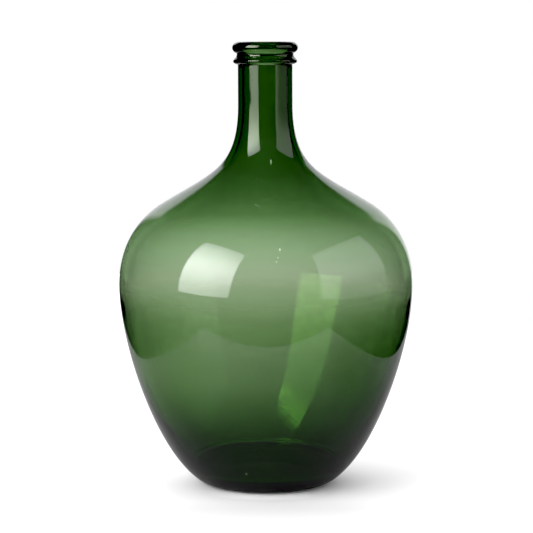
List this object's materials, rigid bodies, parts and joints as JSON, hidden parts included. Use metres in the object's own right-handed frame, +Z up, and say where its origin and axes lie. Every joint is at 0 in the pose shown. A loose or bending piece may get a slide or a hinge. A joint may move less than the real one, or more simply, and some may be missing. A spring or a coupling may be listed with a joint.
{
  "type": "glass carboy",
  "caption": "Open green glass carboy with a deep rounded body, a straight narrow neck and a ringed mouth, for holding or fermenting liquids.",
  "frame": {"origin": "centre of the foot, on the plane that the carboy stands on", "axes": "+Z up along the axis of the turned glass, towards the mouth; X and Y are interchangeable"},
  "size_m": [0.3716, 0.3716, 0.56],
  "materials": {
    "green_glass": "clear polished glass, tinted green through its thickness"
  },
  "bodies": {
    "root": {"glass_body": "green_glass", "string_ring": "green_glass", "lip_ring": "green_glass"}
  },
  "joints": []
}
